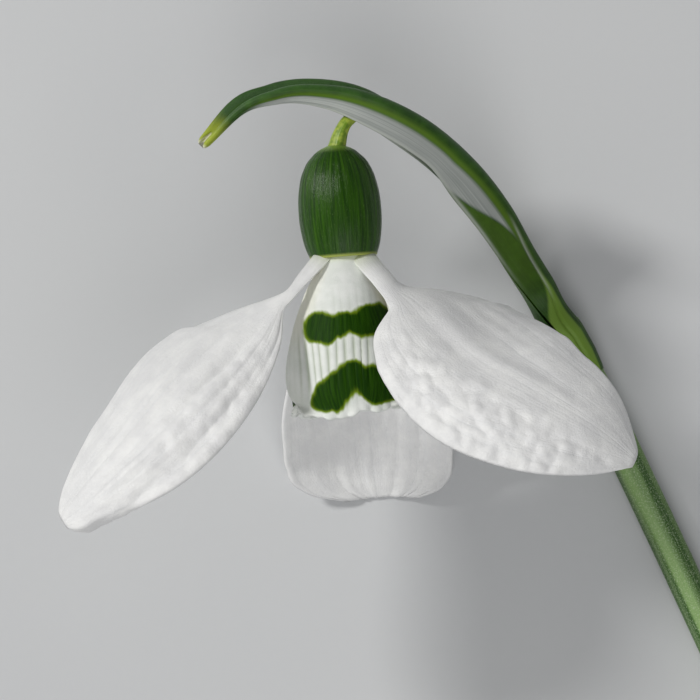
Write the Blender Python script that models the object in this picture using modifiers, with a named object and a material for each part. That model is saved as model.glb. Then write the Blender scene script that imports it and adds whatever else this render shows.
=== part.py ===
"""A cut snowdrop flower, lying on its back.

The plant is modelled as it grows: +Z up, the flower hanging, -Y towards its front, and the
origin where the petals meet the ovary. One empty then lays it down on its back, so that the
stem and the tip of the back petal rest on the surface.
"""

import math

import bmesh
import bpy
import numpy as np
from mathutils import Euler, Vector

MM = 0.001
GAP = 0.3  # mm left between pieces that touch

# Driving dimensions, in millimetres
OVARY_HEIGHT = 9.3
OVARY_RADIUS = 3.45
OVARY_BASE_RADIUS = 2.8
FLOWER_TILT = math.radians(4.5)
STEM_RADIUS = 1.5
STEM_LENGTH = 72.0
STEM_LEAN = math.radians(26.0)
STEM_DEPTH = 16.5
STEM_BEND = 2.0  # sideways, over its whole length
PEDICEL_RADIUS = 0.52
OUTER_PETAL_THICKNESS = 0.45
INNER_PETAL_THICKNESS = 0.4
INNER_PETAL_LENGTH = 12.9
INNER_PETAL_OVERLAP = 0.45
INNER_PETAL_NOTCH = 0.5
STAMEN_COUNT = 6
STAMEN_CIRCLE = 1.25
STAMEN_SPLAY = math.radians(2.0)
ANTHER_LENGTH = 6.0
ANTHER_RADIUS = 0.52
FILAMENT_LENGTH = 0.9
FILAMENT_RADIUS = 0.25
STYLE_LENGTH = 8.2
STYLE_RADIUS = 0.3

STEM_TOP = (19.9, STEM_DEPTH, -6.8)

# Spathe: share of its length, near keel, far keel, free edge of the near flap and of the far
# flap as (across the section, below the keels), and half the width of each keel
SPATHE = [
    (0.00, (20.3, 16.9, -5.5), (18.8, 17.3, -6.1), (-0.20, 2.20), (0.25, 2.20), 0.52),
    (0.10, (18.5, 15.5, -2.7), (16.9, 16.5, -3.4), (-0.15, 2.15), (0.25, 2.15), 0.52),
    (0.20, (16.1, 12.6, 0.8), (14.3, 14.4, 0.4), (-0.10, 2.00), (0.40, 1.90), 0.53),
    (0.31, (13.7, 9.0, 4.6), (11.4, 11.6, 4.2), (0.00, 1.85), (0.90, 1.30), 0.54),
    (0.42, (10.8, 5.2, 7.9), (8.5, 8.0, 7.8), (-0.20, 1.90), (1.50, 1.20), 0.55),
    (0.54, (6.8, 1.4, 11.0), (5.0, 4.2, 11.5), (-1.00, 2.40), (1.50, 2.00), 0.55),
    (0.66, (2.4, -0.9, 13.0), (1.6, 1.9, 13.7), (-1.25, 2.20), (1.30, 2.10), 0.55),
    (0.76, (-1.1, -1.4, 13.7), (-1.9, 1.2, 14.4), (-1.20, 1.50), (1.20, 1.50), 0.54),
    (0.88, (-5.5, -1.4, 13.4), (-6.4, 0.8, 13.9), (-0.95, 0.80), (0.95, 0.80), 0.50),
    (0.95, (-8.6, -1.1, 12.1), (-9.4, 0.6, 12.6), (-0.75, 0.45), (0.75, 0.45), 0.42),
    (1.00, (-11.0, -0.7, 9.8), (-12.0, 0.4, 9.6), (-0.50, 0.30), (0.50, 0.30), 0.30),
]
SPATHE_WALL = 0.3
FLANK = 1.1  # the flaps bulge at least this far round the pedicel
SPATHE_RINGS = 28
SPATHE_STEPS = 18  # round one section
KEEL_SPREAD = 0.1  # of the way round a section
# How far the pedicel runs below the line between the keels, by the share of the spathe's length
PEDICEL_DROP = [(0.02, 1.25), (0.1, 1.2), (0.2, 1.0), (0.31, 0.8), (0.42, 0.8), (0.52, 0.95), (0.6, 1.1)]
PEDICEL_HOOK = [(1.5, 0.45, 12.1), (0.5, 0.2, 11.5), (0.0, 0.0, 10.9)]

# Outer petals: the midrib as (share of its length, point), the direction that the outer face
# looks in, and the half widths as (share, left, right), seen on the outer face with the tip down
LEFT_RIB = [
    (0.00, (-2.2, -2.3, -0.4)),
    (0.09, (-3.8, -2.9, -2.4)),
    (0.16, (-5.2, -3.6, -4.1)),
    (0.32, (-7.9, -5.6, -7.4)),
    (0.55, (-12.9, -7.9, -12.3)),
    (0.79, (-18.1, -8.3, -17.6)),
    (1.00, (-22.8, -7.3, -21.8)),
]
LEFT_FACE = (-0.4, -0.8, 0.4)
LEFT_WIDTHS = [
    (0.00, 0.9, 0.9),
    (0.08, 0.6, 0.6),
    (0.15, 1.0, 0.5),
    (0.20, 3.8, 1.0),
    (0.28, 8.0, 2.7),
    (0.40, 9.3, 4.5),
    (0.55, 8.7, 5.1),
    (0.70, 7.4, 4.5),
    (0.82, 6.0, 3.4),
    (0.92, 4.0, 2.3),
    (1.00, 0.6, 0.4),
]
RIGHT_RIB = [
    (0.00, (2.2, -2.5, -0.4)),
    (0.07, (3.0, -3.4, -1.7)),
    (0.15, (4.4, -4.7, -3.5)),
    (0.25, (5.8, -6.2, -5.3)),
    (0.41, (8.7, -8.6, -8.2)),
    (0.68, (14.9, -12.4, -11.8)),
    (0.85, (19.4, -13.3, -14.3)),
    (1.00, (23.3, -12.6, -16.7)),
]
RIGHT_FACE = (0.3, -0.85, 0.4)
RIGHT_WIDTHS = [
    (0.00, 1.0, 1.0),
    (0.08, 0.8, 1.0),
    (0.15, 0.9, 1.9),
    (0.20, 2.0, 6.6),
    (0.28, 4.4, 11.2),
    (0.40, 5.9, 12.0),
    (0.55, 6.7, 10.3),
    (0.70, 6.1, 8.2),
    (0.82, 4.7, 6.6),
    (0.92, 2.7, 4.6),
    (1.00, 0.5, 0.8),
]
BACK_RIB = [
    (0.00, (0.0, 2.8, -0.4)),
    (0.16, (0.6, 5.7, -3.5)),
    (0.38, (1.4, 9.7, -7.8)),
    (0.60, (2.3, 13.2, -12.1)),
    (0.81, (2.9, 16.2, -16.5)),
    (1.00, (3.2, 17.8, -20.8)),
]
BACK_FACE = (0.0, 0.85, 0.5)
BACK_WIDTHS = [
    (0.00, 1.0, 1.0),
    (0.10, 1.0, 1.0),
    (0.17, 2.2, 2.2),
    (0.26, 4.2, 4.4),
    (0.40, 6.2, 6.8),
    (0.55, 7.3, 8.1),
    (0.70, 7.2, 8.4),
    (0.82, 6.9, 8.3),
    (0.93, 6.2, 7.2),
    (1.00, 3.4, 3.2),
]
OUTER_CUP = [(0.0, 0.5), (0.2, 0.65), (0.6, 0.6), (1.0, 0.35)]  # half angle of the section
OUTER_ROWS = (0, 0.07, 0.14, 0.19, 0.25, 0.34, 0.46, 0.59, 0.71, 0.83, 0.93, 1)
OUTER_COLUMNS = 6

# Inner petals: radius of the bell and half angle of one petal, by the share of its length
BELL_RADIUS = [(0.0, 2.1), (0.2, 3.35), (0.4, 4.3), (0.6, 4.95), (0.8, 5.25), (1.0, 5.15)]
BELL_HALF_ANGLE = [(0.0, 48), (0.2, 64), (0.5, 74), (0.75, 75), (0.88, 66), (1.0, 50)]
INNER_ROWS = (0, 0.12, 0.26, 0.42, 0.58, 0.73, 0.86, 0.95, 1)
INNER_COLUMNS = 8


def clear_scene():
    for old in list(bpy.data.objects):
        bpy.data.objects.remove(old, do_unlink=True)


def follow(stations, share):
    """The smooth value at a share of the way through (share, value) stations."""
    knots = np.array([s[0] for s in stations], float)
    values = np.array([s[1] for s in stations], float)
    slopes = np.gradient(values, knots, axis=0)
    share = min(max(share, knots[0]), knots[-1])
    i = min(int(np.searchsorted(knots, share, side="right")) - 1, len(knots) - 2)
    step = knots[i + 1] - knots[i]
    s = (share - knots[i]) / step
    start = (1 + 2 * s) * (1 - s) ** 2 * values[i] + s * (1 - s) ** 2 * step * slopes[i]
    end = s * s * (3 - 2 * s) * values[i + 1] + s * s * (s - 1) * step * slopes[i + 1]
    return start + end


def unit(vector):
    return vector / np.linalg.norm(vector)


def tangent(stations, share, reach=0.01):
    return unit(follow(stations, share + reach) - follow(stations, share - reach))


def material(name, colour, roughness):
    made = bpy.data.materials.new(name)
    made.use_nodes = True
    shader = made.node_tree.nodes["Principled BSDF"]
    shader.inputs["Base Color"].default_value = (*colour, 1)
    shader.inputs["Roughness"].default_value = roughness
    shader.inputs["Metallic"].default_value = 0.0
    return made


def add_object(name, data, parent, finish, collection):
    made = bpy.data.objects.new(name, data)
    collection.objects.link(made)
    made.parent = parent
    data.materials.append(finish)
    return made


def grid_mesh(name, rows):
    """An open sheet through rows of points, in millimetres."""
    columns = len(rows[0])
    points = [tuple(MM * float(c) for c in point) for row in rows for point in row]
    faces = [
        (r * columns + c, r * columns + c + 1, (r + 1) * columns + c + 1, (r + 1) * columns + c)
        for r in range(len(rows) - 1)
        for c in range(columns - 1)
    ]
    mesh = bpy.data.meshes.new(name)
    mesh.from_pydata(points, [], faces)
    return mesh


def add_sheet(name, rows, thickness, parent, finish, collection):
    """A petal: a coarse cage, rounded by subdivision, with its thickness."""
    made = add_object(name, grid_mesh(name, rows), parent, finish, collection)
    rounded = made.modifiers.new("rounded", "SUBSURF")
    rounded.levels = 1
    rounded.render_levels = 1
    wall = made.modifiers.new("wall", "SOLIDIFY")
    wall.thickness = thickness * MM
    wall.offset = 0.0
    made.data.shade_smooth()
    return made


def outer_petal_rows(rib, face, widths):
    """Cage of an outer petal: a spoon that curls away from the side its outer face looks to."""
    left = [(share, half) for share, half, _ in widths]
    right = [(share, half) for share, _, half in widths]
    rows = []
    for share in OUTER_ROWS:
        middle = follow(rib, share)
        along = tangent(rib, share)
        side = unit(np.cross(along, np.array(face)))
        out = np.cross(side, along)
        cup = float(follow(OUTER_CUP, share))
        row = []
        for column in range(OUTER_COLUMNS + 1):
            across = 2 * column / OUTER_COLUMNS - 1
            half = float(follow(left if across > 0 else right, share))
            turn = cup * across
            curl = half * (1 - math.cos(turn)) / cup
            row.append(middle + side * half * math.sin(turn) / cup - out * curl)
        rows.append(row)
    return rows


def inner_petal_rows(turn):
    """Cage of an inner petal: a third of the bell, one edge outside and one inside its neighbours."""
    rows = []
    for share in INNER_ROWS:
        half_angle = math.radians(float(follow(BELL_HALF_ANGLE, share)))
        radius = float(follow(BELL_RADIUS, share))
        spiral = INNER_PETAL_OVERLAP * min(1.0, share / 0.15)
        row = []
        for column in range(INNER_COLUMNS + 1):
            across = 2 * column / INNER_COLUMNS - 1
            angle = turn + across * half_angle
            rim = 0.9 * abs(across) ** 3 + INNER_PETAL_NOTCH * math.exp(-((across / 0.2) ** 2))
            height = -GAP - 0.2 - share * (INNER_PETAL_LENGTH - share**4 * rim)
            reach = radius - spiral * across
            row.append((reach * math.sin(angle), -reach * math.cos(angle), height))
        rows.append(row)
    return rows


def turned(name, profile, parent, finish, collection, steps=20):
    """A round piece from its profile of (radius, height) points, given from top to bottom."""
    mesh = bpy.data.meshes.new(name)
    points = [(radius * MM, 0.0, height * MM) for radius, height in profile]
    mesh.from_pydata(points, [(i, i + 1) for i in range(len(points) - 1)], [])
    made = add_object(name, mesh, parent, finish, collection)
    spin = made.modifiers.new("turned", "SCREW")
    spin.axis = "Z"
    spin.steps = steps
    spin.render_steps = steps
    spin.use_merge_vertices = True
    spin.merge_threshold = 0.00001
    spin.use_smooth_shade = True
    return made


def tube(name, points, radii, parent, finish, collection, rings=6, sides=3):
    """A round stalk through points, with filled ends."""
    curve = bpy.data.curves.new(name, "CURVE")
    curve.dimensions = "3D"
    curve.bevel_depth = MM
    curve.bevel_resolution = sides
    curve.resolution_u = rings
    curve.use_fill_caps = True
    spline = curve.splines.new("BEZIER")
    spline.bezier_points.add(len(points) - 1)
    for knot, point, radius in zip(spline.bezier_points, points, radii):
        knot.co = Vector(point) * MM
        knot.radius = radius
        knot.handle_left_type = "AUTO"
        knot.handle_right_type = "AUTO"
    return add_object(name, curve, parent, finish, collection)


def spathe_line(column):
    return [(row[0], row[column]) for row in SPATHE]


def spathe_axes(share):
    """Middle between the keels, direction from near to far keel, and direction of the flaps."""
    near = follow(spathe_line(1), share)
    far = follow(spathe_line(2), share)
    middle_line = [(row[0], tuple((np.array(row[1]) + np.array(row[2])) / 2)) for row in SPATHE]
    along = tangent(middle_line, share)
    across = far - near
    across = across - along * np.dot(across, along)
    down = unit(np.cross(along, across))
    return (near + far) / 2, unit(across), down, np.linalg.norm(across) / 2


def spathe_ring(share):
    """One closed section: near flap, near keel, the skin between the keels, far keel, far flap."""
    middle, across, down, half = spathe_axes(share)
    near_edge = follow(spathe_line(3), share)
    far_edge = follow(spathe_line(4), share)
    keel_half = float(follow(spathe_line(5), share))
    least = FLANK if share < 0.6 else 0.0
    near_flank = -max(least, 0.6 * half - 0.5 * near_edge[0])
    far_flank = max(least, 0.6 * half + 0.5 * far_edge[0])
    path = [
        (0.0, tuple(near_edge)),
        (0.12, (near_flank, near_edge[1] * 0.55)),
        (0.28, (-half, 0.0)),
        (0.5, (0.0, -0.25 * half)),
        (0.72, (half, 0.0)),
        (0.88, (far_flank, far_edge[1] * 0.55)),
        (1.0, tuple(far_edge)),
    ]
    outer, inner = [], []
    for i in range(SPATHE_STEPS + 1):
        place = i / SPATHE_STEPS
        centre = follow(path, place)
        run = tangent(path, place)
        normal = np.array([run[1], -run[0]])
        rib = max(math.exp(-(((place - at) / KEEL_SPREAD) ** 2)) for at in (0.28, 0.72))
        wall = SPATHE_WALL + (keel_half * 2 - SPATHE_WALL) * rib
        for ring, shift in ((outer, 0.5 * wall), (inner, -0.5 * wall)):
            spot = centre + normal * shift
            ring.append(middle + across * spot[0] + down * spot[1])
    return outer + inner[::-1]


def spathe_mesh(name):
    """The hood as a loft, because its section opens and thins along its length."""
    mesh = bpy.data.meshes.new(name)
    shape = bmesh.new()
    rings = []
    for i in range(SPATHE_RINGS):
        ring = spathe_ring(i / (SPATHE_RINGS - 1))
        rings.append([shape.verts.new([MM * float(c) for c in point]) for point in ring])
    count = len(rings[0])
    for lower, upper in zip(rings, rings[1:]):
        for i in range(count):
            j = (i + 1) % count
            shape.faces.new((lower[i], lower[j], upper[j], upper[i]))
    for ring in (rings[0], rings[-1]):
        half = count // 2
        for i in range(half - 1):
            shape.faces.new((ring[i], ring[i + 1], ring[count - 2 - i], ring[count - 1 - i]))
    bmesh.ops.recalc_face_normals(shape, faces=shape.faces)
    shape.to_mesh(mesh)
    shape.free()
    mesh.shade_smooth()
    return mesh


def build_stalks(plant, bloom, collection):
    stem_green = material("stem_green", (0.12, 0.26, 0.06), 0.45)
    spathe_green = material("spathe_green", (0.05, 0.17, 0.05), 0.4)
    pedicel_green = material("pedicel_green", (0.3, 0.45, 0.08), 0.45)

    run = np.array([math.sin(STEM_LEAN), 0.0, -math.cos(STEM_LEAN)]) * STEM_LENGTH
    bend = np.array([-math.cos(STEM_LEAN), 0.0, -math.sin(STEM_LEAN)]) * STEM_BEND
    shares = (0.0, 0.25, 0.5, 0.75, 1.0)
    points = [np.array(STEM_TOP) + run * share + bend * share**2 for share in shares]
    tube("stem", points, [STEM_RADIUS] * len(points), plant, stem_green, collection, rings=4)

    add_object("spathe", spathe_mesh("spathe"), plant, spathe_green, collection)

    inside = []
    for share, drop in PEDICEL_DROP:
        middle, _, down, _ = spathe_axes(share)
        inside.append(middle + down * drop)
    top = bloom.matrix_basis @ Vector((0, 0, OVARY_HEIGHT + 2 * GAP))
    hook = [np.array(point) for point in PEDICEL_HOOK] + [np.array(top)]
    path = inside + hook
    radii = [PEDICEL_RADIUS] * (len(path) - 1) + [PEDICEL_RADIUS * 1.2]
    tube("pedicel", path, radii, plant, pedicel_green, collection, rings=4)


def build_ovary(bloom, collection):
    green = material("ovary_green", (0.04, 0.15, 0.02), 0.25)
    profile = [(0.0, OVARY_HEIGHT)]
    shape = [(1.0, 0.2), (0.975, 0.36), (0.9, 0.62), (0.78, 0.83), (0.62, 0.955), (0.42, 1.0)]
    shape += [(0.25, 0.975), (0.1, 0.9), (0.0, OVARY_BASE_RADIUS / OVARY_RADIUS)]
    profile += [(OVARY_RADIUS * radius, OVARY_HEIGHT * height) for height, radius in shape]
    profile.append((0.0, 0.0))
    turned("ovary", profile, bloom, green, collection, steps=28)


def build_outer_petals(plant, collection):
    white = material("petal_white", (0.86, 0.87, 0.88), 0.5)
    petals = [
        ("outer_petal_left", LEFT_RIB, LEFT_FACE, LEFT_WIDTHS),
        ("outer_petal_right", RIGHT_RIB, RIGHT_FACE, RIGHT_WIDTHS),
        ("outer_petal_back", BACK_RIB, BACK_FACE, BACK_WIDTHS),
    ]
    for name, rib, face, widths in petals:
        rows = outer_petal_rows(rib, face, widths)
        add_sheet(name, rows, OUTER_PETAL_THICKNESS, plant, white, collection)


def build_inner_petals(bloom, collection):
    white = material("inner_petal_white", (0.84, 0.87, 0.82), 0.45)
    for name, turn in (("front", 0.0), ("back_right", 120.0), ("back_left", 240.0)):
        rows = inner_petal_rows(math.radians(turn))
        add_sheet("inner_petal_" + name, rows, INNER_PETAL_THICKNESS, bloom, white, collection)


def build_stamens(bloom, collection):
    orange = material("anther_orange", (0.75, 0.36, 0.03), 0.6)
    top = -GAP
    body = top - FILAMENT_LENGTH
    profile = [(0.0, top), (FILAMENT_RADIUS, top), (FILAMENT_RADIUS, body)]
    shape = [(0.06, 0.75), (0.16, 1.0), (0.45, 0.95), (0.75, 0.62), (0.93, 0.25)]
    profile += [(ANTHER_RADIUS * radius, body - ANTHER_LENGTH * fall) for fall, radius in shape]
    profile.append((0.0, body - ANTHER_LENGTH))
    for i in range(STAMEN_COUNT):
        angle = math.radians(30 + 360 * i / STAMEN_COUNT)
        stamen = turned(f"stamen_{i + 1}", profile, bloom, orange, collection, steps=10)
        outward = Vector((math.sin(angle), -math.cos(angle), 0))
        stamen.location = outward * MM * STAMEN_CIRCLE
        stamen.rotation_euler = Vector((-outward.y, outward.x, 0)) * -STAMEN_SPLAY


def build_style(bloom, collection):
    white = material("style_white", (0.85, 0.88, 0.78), 0.5)
    top = -GAP
    profile = [
        (0.0, top),
        (STYLE_RADIUS * 1.3, top),
        (STYLE_RADIUS, top - 1.0),
        (STYLE_RADIUS, top - STYLE_LENGTH * 0.9),
        (STYLE_RADIUS * 0.6, top - STYLE_LENGTH),
        (0.0, top - STYLE_LENGTH - 0.1),
    ]
    turned("style", profile, bloom, white, collection, steps=10)


def lay_down(plant, collection):
    """Turns the plant onto its back and puts the origin under the middle of its box."""
    plant.rotation_euler = Euler((-math.pi / 2, 0, 0))
    bpy.context.view_layer.update()
    graph = bpy.context.evaluated_depsgraph_get()
    corners = []
    for part in collection.objects:
        if part.type != "EMPTY":
            seen = part.evaluated_get(graph)
            mesh = seen.to_mesh()
            corners += [tuple(seen.matrix_world @ vertex.co) for vertex in mesh.vertices]
            seen.to_mesh_clear()
    low = np.min(corners, axis=0)
    high = np.max(corners, axis=0)
    plant.location = (-(low[0] + high[0]) / 2, -(low[1] + high[1]) / 2, -low[2])


def main():
    clear_scene()
    collection = bpy.data.collections.new("snowdrop")
    bpy.context.scene.collection.children.link(collection)

    plant = bpy.data.objects.new("plant", None)
    bloom = bpy.data.objects.new("bloom", None)
    for guide in (plant, bloom):
        collection.objects.link(guide)
    bloom.parent = plant
    bloom.rotation_euler = Euler((0, -FLOWER_TILT, 0))
    bpy.context.view_layer.update()

    build_stalks(plant, bloom, collection)
    build_ovary(bloom, collection)
    build_outer_petals(plant, collection)
    build_inner_petals(bloom, collection)
    build_stamens(bloom, collection)
    build_style(bloom, collection)
    lay_down(plant, collection)


main()
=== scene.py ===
"""The looks of a cut snowdrop flower that lies on its back.

Every shape is worked out as the flower grows, in millimetres: +Z up, -Y towards its front, and
the origin where the petals meet the ovary. world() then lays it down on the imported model.
"""

import math

import bmesh
import bpy
import numpy as np
from mathutils import Matrix, Vector, noise

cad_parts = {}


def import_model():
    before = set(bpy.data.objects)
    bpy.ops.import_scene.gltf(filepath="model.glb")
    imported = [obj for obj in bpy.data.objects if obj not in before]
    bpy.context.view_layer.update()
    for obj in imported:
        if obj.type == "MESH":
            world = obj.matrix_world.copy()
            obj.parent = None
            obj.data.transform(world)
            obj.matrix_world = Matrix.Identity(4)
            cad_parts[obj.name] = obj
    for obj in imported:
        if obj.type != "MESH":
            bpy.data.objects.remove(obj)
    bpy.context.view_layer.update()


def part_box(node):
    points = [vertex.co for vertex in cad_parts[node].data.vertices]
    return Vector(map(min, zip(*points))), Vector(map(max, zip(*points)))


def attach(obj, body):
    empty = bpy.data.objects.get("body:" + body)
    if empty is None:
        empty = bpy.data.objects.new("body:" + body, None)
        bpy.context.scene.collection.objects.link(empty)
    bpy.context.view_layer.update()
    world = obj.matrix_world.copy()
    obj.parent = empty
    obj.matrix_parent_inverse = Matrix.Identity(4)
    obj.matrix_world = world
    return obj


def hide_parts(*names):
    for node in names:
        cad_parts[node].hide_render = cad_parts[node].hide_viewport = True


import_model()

MM = 0.001

# ---------------- sizes shared with the solids

OVARY_HEIGHT = 9.3
OVARY_RADIUS = 3.45
OVARY_SIDES = 28  # of the solid ovary
OVARY_PROFILE = [
    (0.00, 0.81), (0.10, 0.90), (0.25, 0.975), (0.42, 1.00), (0.62, 0.955), (0.78, 0.83),
    (0.90, 0.62), (0.975, 0.36), (1.00, 0.20),
]
FLOWER_TILT = math.radians(4.5)
STEM_RADIUS = 1.5
STEM_TOP = (19.9, 16.5, -6.8)
STEM_LENGTH = 72.0
STEM_LEAN = math.radians(26.0)
STEM_BEND = 2.0
PEDICEL_RADIUS = 0.52

# Share of the length, near keel, far keel, free edge of the near flap and of the far flap as
# (across the section, below the keels), and half the width of each keel
SPATHE = [
    (0.00, (20.3, 16.9, -5.5), (18.8, 17.3, -6.1), (-0.20, 2.20), (0.25, 2.20), 0.52),
    (0.10, (18.5, 15.5, -2.7), (16.9, 16.5, -3.4), (-0.15, 2.15), (0.25, 2.15), 0.52),
    (0.20, (16.1, 12.6, 0.8), (14.3, 14.4, 0.4), (-0.10, 2.00), (0.40, 1.90), 0.53),
    (0.31, (13.7, 9.0, 4.6), (11.4, 11.6, 4.2), (0.00, 1.85), (0.90, 1.30), 0.54),
    (0.42, (10.8, 5.2, 7.9), (8.5, 8.0, 7.8), (-0.20, 1.90), (1.50, 1.20), 0.55),
    (0.54, (6.8, 1.4, 11.0), (5.0, 4.2, 11.5), (-1.00, 2.40), (1.50, 2.00), 0.55),
    (0.66, (2.4, -0.9, 13.0), (1.6, 1.9, 13.7), (-1.25, 2.20), (1.30, 2.10), 0.55),
    (0.76, (-1.1, -1.4, 13.7), (-1.9, 1.2, 14.4), (-1.20, 1.50), (1.20, 1.50), 0.54),
    (0.88, (-5.5, -1.4, 13.4), (-6.4, 0.8, 13.9), (-0.95, 0.80), (0.95, 0.80), 0.50),
    (0.95, (-8.6, -1.1, 12.1), (-9.4, 0.6, 12.6), (-0.75, 0.45), (0.75, 0.45), 0.38),
    (1.00, (-11.0, -0.7, 9.8), (-12.0, 0.4, 9.6), (-0.50, 0.30), (0.50, 0.30), 0.28),
]
SPATHE_WALL = 0.22
FLANK = 1.1
KEEL_PLACES = (0.28, 0.72)
SLIT_PLACE = [(0.0, 0.08), (0.06, 0.09), (0.14, 0.16), (0.22, 0.2), (1.0, 0.2)]
KEEL_SPREAD = 0.1
SHEATH_RADIUS = 1.62  # at its base the hood wraps the stem
SHEATH_DEPTH = 1.3  # from the keels to the middle of the stem
SHEATH_WRAP = 0.985  # share of the way round the stem
HEM_RINGS = [(4.2, 0.885), (3.6, 0.93), (2.2, 0.97)]  # drop along the stem, size of the ring
TIPS_PARTED = 1.1
TIP_RINGS = [(0.25, 0.85), (0.5, 0.5)]  # reach beyond the last ring, size
TIP_LENGTH = 0.6
TIP_ALONG = [1.006, 1.012, 1.018]  # what the rings of the tips carry as their along
PEDICEL_DROP = [
    (0.02, 1.25), (0.1, 1.2), (0.2, 1.0), (0.31, 0.8), (0.42, 0.8),
    (0.52, 0.95), (0.6, 1.1),
]
PEDICEL_HOOK = [(1.5, 0.45, 12.1), (0.5, 0.2, 11.5), (0.0, 0.0, 10.9)]

# Outer petals: the midrib as (share of its length, point), the way the outer face looks, and
# the half widths as (share, left, right), seen on the outer face with the tip down. Across a
# petal, -1 is its right margin and 1 its left one: folds lie about a (middle, reach) and fade
# by (how much, from, to) along it; it is puckered, and its margin turned, from (side, start).
LEFT_PETAL = {
    "node": "outer_petal_left",
    "relief": {
        "Folds": 7.0, "Fold Height": 1.6 * MM, "Crumples": 16.0, "Crumple Height": 0.22 * MM,
        "Pucker Size": 1.5 * MM, "Pucker Height": 0.6 * MM, "Seed": 2.0,
    },
    "folds_about": (-0.15, 0.7),
    "folds_fade": (0.9, 0.72, 0.97),
    "puckered_from": (-1.0, 0.2),
    "turned_margin": (-1.0, 0.76),
    "rib": [
        (0.00, (-1.55, -1.35, 0.25)), (0.03, (-2.15, -2.0, -0.45)), (0.09, (-3.9, -2.9, -2.5)),
        (0.16, (-5.3, -3.6, -4.2)), (0.32, (-7.9, -5.6, -7.4)), (0.55, (-12.9, -7.9, -12.3)),
        (0.79, (-18.1, -8.3, -17.6)), (1.00, (-22.8, -7.3, -21.8)),
    ],
    "face": (-0.4, -0.8, 0.4),
    "widths": [
        (0.00, 0.6, 0.9), (0.06, 0.45, 0.6), (0.12, 0.5, 0.5), (0.16, 2.2, 0.5), (0.20, 5.0, 1.2),
        (0.24, 7.3, 1.9), (0.31, 9.2, 2.8), (0.41, 9.8, 4.0), (0.55, 9.0, 4.9), (0.70, 7.4, 4.6),
        (0.82, 6.0, 3.4), (0.92, 4.0, 2.2), (0.97, 2.4, 1.7), (1.00, 0.9, 0.6),
    ],
}
RIGHT_PETAL = {
    "node": "outer_petal_right",
    "relief": {
        "Folds": 6.0, "Fold Height": 1.0 * MM, "Crumples": 14.0, "Crumple Height": 0.15 * MM,
        "Pucker Size": 1.3 * MM, "Pucker Height": 0.9 * MM, "Seed": 5.0,
    },
    "folds_about": (-0.3, 0.8),
    "folds_fade": (0.9, 0.5, 0.86),
    "puckered_from": (1.0, -0.1),
    "rib": [
        (0.00, (1.45, -1.4, 0.25)), (0.025, (1.95, -2.1, -0.45)), (0.07, (3.0, -3.4, -1.7)),
        (0.15, (4.4, -4.7, -3.5)), (0.25, (5.8, -6.2, -5.3)), (0.41, (8.7, -8.6, -8.2)),
        (0.68, (14.9, -12.4, -11.8)), (0.85, (19.4, -13.3, -14.3)), (1.00, (23.3, -12.6, -16.7)),
    ],
    "face": (0.3, -0.85, 0.4),
    "widths": [
        (0.00, 1.0, 1.0), (0.08, 0.9, 1.0), (0.11, 0.9, 1.2), (0.13, 0.9, 2.3), (0.15, 1.0, 5.2),
        (0.18, 1.3, 8.7), (0.20, 2.3, 10.0), (0.22, 3.3, 10.7), (0.28, 4.7, 11.3),
        (0.40, 6.0, 11.8), (0.55, 6.7, 10.3), (0.70, 6.1, 8.2), (0.82, 4.7, 6.6), (0.92, 2.7, 4.6),
        (1.00, 0.5, 0.8),
    ],
}
BACK_PETAL = {
    "node": "outer_petal_back",
    "relief": {
        "Folds": 9.0, "Fold Height": 1.0 * MM, "Crumples": 24.0, "Crumple Height": 0.25 * MM,
        "Pucker Size": 1.8 * MM, "Pucker Height": 0.2 * MM, "Seed": 8.0,
    },
    "folds_about": (0.0, 1.0),
    "folds_fade": (0.3, 0.72, 0.97),
    "puckered_from": (1.0, 0.0),
    "rib": [
        (0.00, (0.0, 1.9, 0.5)), (0.03, (0.0, 2.5, -0.2)), (0.16, (0.6, 5.7, -3.5)),
        (0.38, (1.4, 9.7, -7.8)), (0.60, (2.3, 13.2, -12.1)), (0.81, (2.9, 16.2, -16.5)),
        (1.00, (3.2, 17.8, -20.8)),
    ],
    "face": (0.0, 0.85, 0.5),
    "widths": [
        (0.00, 1.0, 1.0), (0.10, 1.0, 1.0), (0.17, 2.2, 2.2), (0.26, 4.2, 4.4), (0.40, 6.2, 6.8),
        (0.55, 7.3, 8.1), (0.70, 7.2, 8.4), (0.82, 6.9, 8.3), (0.93, 6.2, 7.2), (0.97, 5.2, 5.6),
        (1.00, 3.4, 3.0),
    ],
}
OUTER_CUP = [(0.0, 0.5), (0.2, 0.65), (0.6, 0.6), (1.0, 0.35)]
OUTER_THICKNESS = 0.4
TURN_STEEPNESS = 5.0  # how hard the turned margin folds back

BELL_RADIUS = [(0.0, 2.1), (0.2, 3.35), (0.4, 4.3), (0.6, 4.95), (0.8, 5.25), (1.0, 5.15)]
BELL_HALF_ANGLE = [(0.0, 48), (0.2, 64), (0.5, 74), (0.75, 75), (0.88, 66), (1.0, 50)]
INNER_LENGTH = 12.9
INNER_TOP = -0.5
INNER_OVERLAP = 0.45
INNER_THICKNESS = 0.36
GROOVE_SPACING = 0.66

STAMEN_COUNT = 6
STAMEN_CIRCLE = 1.25
STAMEN_SPLAY = math.radians(2.0)
ANTHER_LENGTH = 6.0
ANTHER_RADIUS = 0.52
ANTHER_PROFILE = [
    (0.0, 0.6), (0.06, 0.75), (0.16, 1.0), (0.45, 0.95), (0.75, 0.62), (0.93, 0.25), (1.0, 0.0),
]
FILAMENT_LENGTH = 0.9
FILAMENT_RADIUS = 0.25
STYLE_LENGTH = 8.2
STYLE_RADIUS = 0.3

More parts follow.
